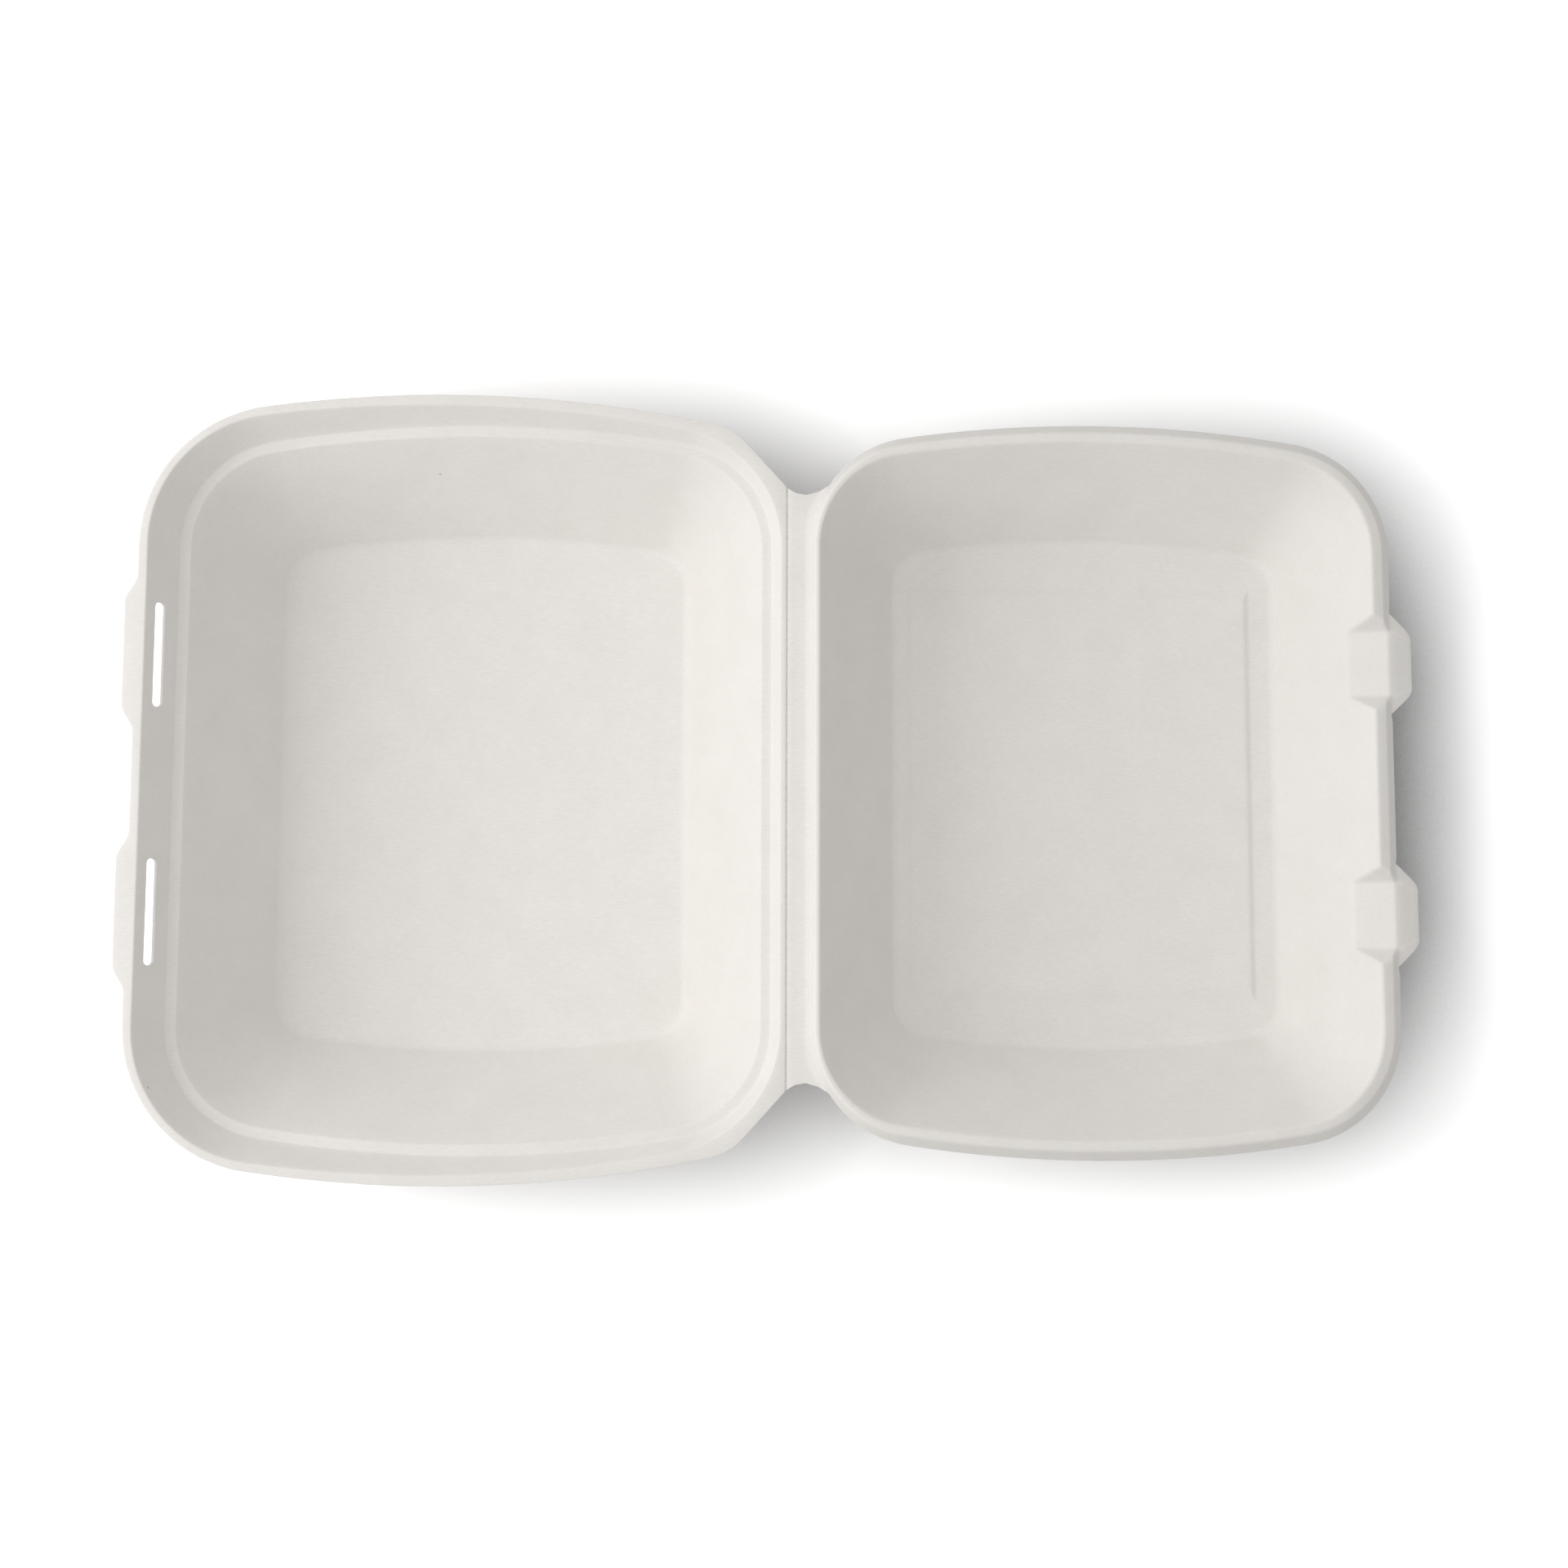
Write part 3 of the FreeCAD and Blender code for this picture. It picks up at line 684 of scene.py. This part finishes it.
def pulp_material(name, s, wire_side=False, cut=False):
    """Bagasse pulp, pressed wet between moulds and dried.

    Matt and off-white. Short sugar-cane fibres lie in the sheet at all angles, so the face has a
    fine felted grain, faint clouds where the fibre is thicker, and a few brown specks of bark.
    The wire side keeps the weave of the forming screen, and the cut edge shows loose fibre ends.
    """
    material = bpy.data.materials.new(name)
    material.use_nodes = True
    tree = material.node_tree
    tree.nodes.clear()
    place = add_node(tree, "ShaderNodeTexCoord").outputs["Object"]

    def fibres(turn, length, width):
        # fibres are drawn about twice their real width, because real ones are too fine to show
        laid = add_node(tree, "ShaderNodeMapping", {"vector_type": "POINT"}, Vector=place,
                        Rotation=(0.35, 0.25, turn),
                        Scale=(per_size(length), per_size(width), per_size(width)))
        return add_node(tree, "ShaderNodeTexNoise", {}, Vector=laid.outputs[0], Scale=1.0,
                        Detail=2.0, Roughness=0.55).outputs[0]

    def mixed(a, b):
        return add_node(tree, "ShaderNodeMath", {"operation": "ADD"}, i0=a, i1=b).outputs[0]

    felt = mixed(mixed(fibres(0.4, 2.4, 0.28), fibres(1.5, 2.0, 0.26)), fibres(2.5, 2.2, 0.3))
    grain = add_node(tree, "ShaderNodeTexNoise", {}, Vector=place, Scale=per_size(0.45),
                     Detail=3.0, Roughness=0.6).outputs[0]
    clouds = add_node(tree, "ShaderNodeTexNoise", {}, Vector=place, Scale=per_size(14.0),
                      Detail=4.0, Roughness=0.55).outputs[0]

    light = [min(1.0, v * 1.035) for v in s.pulp_colour]
    dark = [v * f for v, f in zip(s.pulp_colour, (0.955, 0.951, 0.942))]
    colour = add_node(tree, "ShaderNodeMix", {"data_type": "RGBA"}, Factor=clouds,
                      i6=(*dark, 1), i7=(*light, 1)).outputs[2]
    vein = add_node(tree, "ShaderNodeMapRange", {}, Value=felt, i1=1.15, i2=1.85,
                    i3=0.96, i4=1.025).outputs[0]
    colour = add_node(tree, "ShaderNodeVectorMath", {"operation": "SCALE"}, i0=colour,
                      Scale=vein).outputs[0]

    cells = add_node(tree, "ShaderNodeTexVoronoi", {"feature": "F1"}, Vector=place,
                     Scale=per_size(13.0), Randomness=1.0)
    size = add_node(tree, "ShaderNodeSeparateColor", {}, Color=cells.outputs["Color"]).outputs[0]
    radius = add_node(tree, "ShaderNodeMapRange", {}, Value=size, i1=0.55, i2=1.0,
                      i3=0.0, i4=0.030).outputs[0]
    inside = add_node(tree, "ShaderNodeMath", {"operation": "LESS_THAN"},
                      i0=cells.outputs["Distance"], i1=radius).outputs[0]
    strength = add_node(tree, "ShaderNodeMath", {"operation": "MULTIPLY"}, i0=inside,
                        i1=0.6).outputs[0]
    colour = add_node(tree, "ShaderNodeMix", {"data_type": "RGBA"}, Factor=strength, i6=colour,
                      i7=(*s.speck_colour, 1)).outputs[2]

    # painted shade along the crease groove: the pulp colour is darkened there, broken into patches
    # by noise
    crease = add_node(tree, "ShaderNodeAttribute", {"attribute_name": "crease"}).outputs["Fac"]
    crease_shade_patches = add_node(tree, "ShaderNodeTexNoise", {}, Vector=place, Scale=per_size(1.3), Detail=4.0,
                    Roughness=0.7).outputs[0]
    crease_shade_patches = add_node(tree, "ShaderNodeMapRange", {}, Value=crease_shade_patches, i1=0.35, i2=0.62, i3=0.25,
                    i4=1.0).outputs[0]
    crease_shade_mix = add_node(tree, "ShaderNodeMath", {"operation": "MULTIPLY"}, i0=crease,
                    i1=crease_shade_patches).outputs[0]
    shade = [v * CREASE_SHADE_LEVEL for v in s.pulp_colour]
    colour = add_node(tree, "ShaderNodeMix", {"data_type": "RGBA"}, Factor=crease_shade_mix, i6=colour,
                      i7=(*shade, 1)).outputs[2]

    height = add_node(tree, "ShaderNodeMath", {"operation": "MULTIPLY_ADD"}, i0=grain, i1=0.8,
                      i2=felt).outputs[0]
    depth = PRESSED_RELIEF
    if wire_side:
        # the screen's wires leave small square dimples, drawn twice as coarse as they are
        weave = [add_node(tree, "ShaderNodeTexWave", {"wave_type": "BANDS", "bands_direction": way},
                          Vector=place, Scale=per_size(1.5) * math.tau / 20, Distortion=0.6,
                          Detail=1.0).outputs["Fac"] for way in "XY"]
        height = mixed(height, mixed(*weave))
        depth = WIRE_RELIEF
    if cut:
        ends = add_node(tree, "ShaderNodeTexNoise", {}, Vector=place, Scale=per_size(0.22),
                        Detail=4.0, Roughness=0.7).outputs[0]
        height = mixed(height, ends)
        depth = CUT_RELIEF
    bump = add_node(tree, "ShaderNodeBump", {}, Height=height, Strength=1.0,
                    Distance=depth * MM).outputs[0]
    shader = add_node(tree, "ShaderNodeBsdfPrincipled", {}, Base_Color=colour, Normal=bump,
                      Roughness=0.92)
    shader.inputs["IOR"].default_value = 1.47
    shader.inputs["Specular IOR Level"].default_value = 0.25
    add_node(tree, "ShaderNodeOutputMaterial", {}, Surface=shader.outputs[0])
    return material


def floor_material(s):
    """Seamless white paper: matt, shown white to the camera, with a shadow painted near the box on
    top of the lamps' real shadow.
    """
    material = bpy.data.materials.new("white_seamless_paper")
    material.use_nodes = True
    tree = material.node_tree
    tree.nodes.clear()
    rays = add_node(tree, "ShaderNodeLightPath")
    seen = add_node(tree, "ShaderNodeMath", {"operation": "MAXIMUM"},
                    i0=rays.outputs["Is Camera Ray"], i1=rays.outputs["Is Glossy Ray"]).outputs[0]
    seen = add_node(tree, "ShaderNodeMath", {"operation": "MAXIMUM"}, i0=seen,
                    i1=rays.outputs["Is Transmission Ray"]).outputs[0]
    # painted shadow: ambient occlusion towards the window side darkens the paper's shown colour
    # near the box
    painted_shadow_ao = add_node(tree, "ShaderNodeAmbientOcclusion", {"samples": 8}, Color=(1, 1, 1, 1),
                        Distance=PAINTED_SHADOW_REACH, Normal=add_node(
                            tree, "ShaderNodeCombineXYZ", {}, X=PAINTED_SHADOW_FROM[0], Y=PAINTED_SHADOW_FROM[1],
                            Z=PAINTED_SHADOW_FROM[2]).outputs[0]).outputs["AO"]
    level = add_node(tree, "ShaderNodeMapRange", {}, Value=painted_shadow_ao, i1=0.25, i2=0.95,
                     i3=FLOOR_LIFT * PAINTED_SHADOW_DEPTH, i4=FLOOR_LIFT).outputs[0]
    painted_shadow_grey = add_node(tree, "ShaderNodeCombineXYZ", {}, X=level, Y=level, Z=level).outputs[0]
    shown = add_node(tree, "ShaderNodeMix", {"data_type": "RGBA"}, Factor=seen,
                     i6=(*s.floor_colour, 1), i7=painted_shadow_grey).outputs[2]
    paper = add_node(tree, "ShaderNodeBsdfDiffuse", {}, Color=shown)
    # from below, the paper is clear and shows the underside
    below = add_node(tree, "ShaderNodeNewGeometry").outputs["Backfacing"]
    clear = add_node(tree, "ShaderNodeBsdfTransparent")
    either = add_node(tree, "ShaderNodeMixShader", {}, Fac=below, i1=paper.outputs[0],
                      i2=clear.outputs[0])
    add_node(tree, "ShaderNodeOutputMaterial", {}, Surface=either.outputs[0])
    return material


# ---- light ---------------------------------------------------------------------------------
ROOM_LEVEL = 0.745                  # light from all round
BRIGHT_SIDE = (-1.0, 0.08, 0.0)     # the side the room is brighter on, and by how much
ROOM_SLOPE = 0.29
WINDOW_LEVEL = 0.39                 # light from the window, where it falls square on
WINDOW_RISE = math.radians(36)
WINDOW_AWAY, WINDOW_SIZE = 0.85, 0.5                # m
TOP_LEVEL, TOP_AWAY, TOP_SIZE = 0.10, 1.3, 0.7      # light from straight above; m
FLOOR_LIFT = 1.38                   # the paper is shown this much lighter than it is
PAINTED_SHADOW_REACH = 0.058                 # m; the painted shadow reaches this far out from the box
PAINTED_SHADOW_FROM = (-0.92, -0.10, 0.37)   # painted shadow: the direction of the light that the box holds back
PAINTED_SHADOW_DEPTH = 0.06                  # painted shadow: what is left of the paper's level where it is deepest
FLOOR_HALF, FLOOR_DROP = 6.0, 0.05 * MM
CAMERA_PLACE = (85.1 * MM, -44.4 * MM, 855.0 * MM)
CAMERA_LEAN, CAMERA_TURN, CAMERA_ROLL = 0.136, 0.004, -0.011
LENS, LENS_SHIFT = 62.0, -0.14


# ---- operators -----------------------------------------------------------------------------
class PULPBOX_OT_press_shell(bpy.types.Operator):
    """Press the base, the hinge strip and the lid as one sheet of pulp"""
    bl_idname = "pulpbox.press_shell"
    bl_label = "Press the shell"

    def execute(self, context):
        s = context.scene.pulp_box
        sheet = pressed_sheet(s)
        points = uneven(np.array(sheet.points), s.unevenness / MM)
        mesh = bpy.data.meshes.new("pulp_shell")
        mesh.from_pydata([tuple(p * MM) for p in points], [], sheet.faces)
        work = bmesh.new()
        work.from_mesh(mesh)
        bmesh.ops.delete(work, geom=[v for v in work.verts if not v.link_faces], context="VERTS")
        bmesh.ops.recalc_face_normals(work, faces=work.faces)
        if sum(f.normal.z * f.calc_area() for f in work.faces) < 0:
            bmesh.ops.reverse_faces(work, faces=work.faces)
        work.to_mesh(mesh)
        work.free()
        shell = bpy.data.objects.new("pulp_shell", mesh)
        context.scene.collection.objects.link(shell)
        for material in (pulp_material("bagasse_pulp_pressed", s),
                         pulp_material("bagasse_pulp_wire_side", s, wire_side=True),
                         pulp_material("bagasse_pulp_cut_edge", s, cut=True)):
            mesh.materials.append(material)
        thick = shell.modifiers.new("thickness", "SOLIDIFY")
        thick.thickness = s.wall
        thick.offset = -1.0
        thick.use_even_offset = True
        thick.use_quality_normals = True
        thick.material_offset = 1
        thick.material_offset_rim = 2
        graph = context.evaluated_depsgraph_get()
        solid = bpy.data.meshes.new_from_object(shell.evaluated_get(graph))
        shell.modifiers.clear()
        shell.data = solid
        finish_mesh(solid)
        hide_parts("base", "lid")
        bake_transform(shell)
        return {"FINISHED"}


def finish_mesh(mesh):
    """Crisp cut edges, soft pressed bends, a level underside, and the painted shade along the
    crease.
    """
    work = bmesh.new()
    work.from_mesh(mesh)
    for face in work.faces:
        face.smooth = True
    for edge in work.edges:
        if len(edge.link_faces) == 2:
            rims = [f.material_index == 2 for f in edge.link_faces]
            edge.smooth = rims[0] == rims[1] or edge.calc_face_angle(0) < CRISP_TURN
    work.to_mesh(mesh)
    work.free()
    # mask of the painted crease shade, strongest on the fold line and gone a little way either side
    crease_shade_mask = mesh.attributes.new("crease", "FLOAT", "POINT")
    for k, vertex in enumerate(mesh.vertices):
        vertex.co.z = max(vertex.co.z, 0.0)
        off = abs(vertex.co.x / MM - FOLD_X)
        on_crease = abs(vertex.co.y) < CREASE_SHADE_END * MM
        crease_shade_mask.data[k].value = max(0.0, 1 - off / CREASE_SHADE_HALF) if on_crease else 0.0


class PULPBOX_OT_studio(bpy.types.Operator):
    """Lay a white floor, light it softly and set the camera"""
    bl_idname = "pulpbox.studio"
    bl_label = "Set up the studio"

    def execute(self, context):
        scene = context.scene
        s = scene.pulp_box
        mesh = bpy.data.meshes.new("studio_floor")
        corners = [(x * FLOOR_HALF, y * FLOOR_HALF, -FLOOR_DROP)
                   for x, y in ((-1, -1), (1, -1), (1, 1), (-1, 1))]
        mesh.from_pydata(corners, [], [(0, 1, 2, 3)])
        mesh.materials.append(floor_material(s))
        floor = bpy.data.objects.new("studio_floor", mesh)
        scene.collection.objects.link(floor)

        world = bpy.data.worlds.new("soft_white_room")
        scene.world = world
        world.use_nodes = True
        tree = world.node_tree
        tree.nodes.clear()
        rays = add_node(tree, "ShaderNodeLightPath")
        look = add_node(tree, "ShaderNodeTexCoord").outputs["Generated"]
        side = add_node(tree, "ShaderNodeVectorMath", {"operation": "DOT_PRODUCT"}, i0=look,
                        i1=BRIGHT_SIDE).outputs["Value"]
        room = add_node(tree, "ShaderNodeMapRange", {}, Value=side, i1=-1.0, i2=1.0,
                        i3=ROOM_LEVEL - ROOM_SLOPE, i4=ROOM_LEVEL + ROOM_SLOPE).outputs[0]
        level = add_node(tree, "ShaderNodeMix", {"data_type": "FLOAT"},
                         Factor=rays.outputs["Is Camera Ray"], i2=room, i3=1.0).outputs[0]
        sky = add_node(tree, "ShaderNodeBackground", {}, Color=(1, 1, 1, 1), Strength=level)
        add_node(tree, "ShaderNodeOutputWorld", {}, Surface=sky.outputs[0])

        # a soft window on the side of the thumb tabs, and a weak soft light overhead
        aim = Vector((0.0, 0.0, 0.03))
        away = Vector((-math.cos(WINDOW_RISE), 0.0, math.sin(WINDOW_RISE)))
        soft_light(scene, "window_light", aim + away * WINDOW_AWAY, aim, WINDOW_SIZE,
                   WINDOW_LEVEL * math.pi ** 2 * WINDOW_AWAY ** 2)
        soft_light(scene, "top_light", Vector((0.0, 0.0, TOP_AWAY)), Vector((0.0, 0.0, 0.0)),
                   TOP_SIZE, TOP_LEVEL * math.pi ** 2 * TOP_AWAY ** 2)

        scene.view_settings.view_transform = "Standard"
        lens = bpy.data.cameras.new("camera")
        lens.lens = LENS
        lens.sensor_width = 36.0
        lens.shift_y = LENS_SHIFT
        lens.clip_start = 0.01
        camera = bpy.data.objects.new("camera", lens)
        camera.location = CAMERA_PLACE
        turn = Euler((0, 0, CAMERA_TURN)).to_matrix() @ Euler((CAMERA_LEAN, 0, 0)).to_matrix()
        camera.rotation_euler = (turn @ Euler((0, CAMERA_ROLL, 0)).to_matrix()).to_euler()
        scene.collection.objects.link(camera)
        scene.camera = camera
        return {"FINISHED"}


def soft_light(scene, name, place, target, size, power):
    lamp = bpy.data.lights.new(name, "AREA")
    lamp.shape = "RECTANGLE"
    lamp.size = lamp.size_y = size
    lamp.energy = power
    holder = bpy.data.objects.new(name, lamp)
    holder.location = place
    holder.rotation_euler = (Vector(target) - Vector(place)).to_track_quat("-Z", "Y").to_euler()
    scene.collection.objects.link(holder)


class PULPBOX_PT_panel(bpy.types.Panel):
    bl_label = "Pulp box"
    bl_idname = "PULPBOX_PT_panel"
    bl_space_type = "VIEW_3D"
    bl_region_type = "UI"
    bl_category = "Pulp box"

    def draw(self, context):
        s = context.scene.pulp_box
        for name in PulpBoxSettings.__annotations__:
            self.layout.prop(s, name)
        self.layout.operator(PULPBOX_OT_press_shell.bl_idname)
        self.layout.operator(PULPBOX_OT_studio.bl_idname)


CLASSES = (PulpBoxSettings, PULPBOX_OT_press_shell, PULPBOX_OT_studio, PULPBOX_PT_panel)


def register():
    for cls in CLASSES:
        bpy.utils.register_class(cls)
    bpy.types.Scene.pulp_box = bpy.props.PointerProperty(type=PulpBoxSettings)


def unregister():
    del bpy.types.Scene.pulp_box
    for cls in reversed(CLASSES):
        bpy.utils.unregister_class(cls)


def main():
    register()
    bpy.ops.pulpbox.press_shell()
    bpy.ops.pulpbox.studio()


if __name__ == "__main__":
    main()
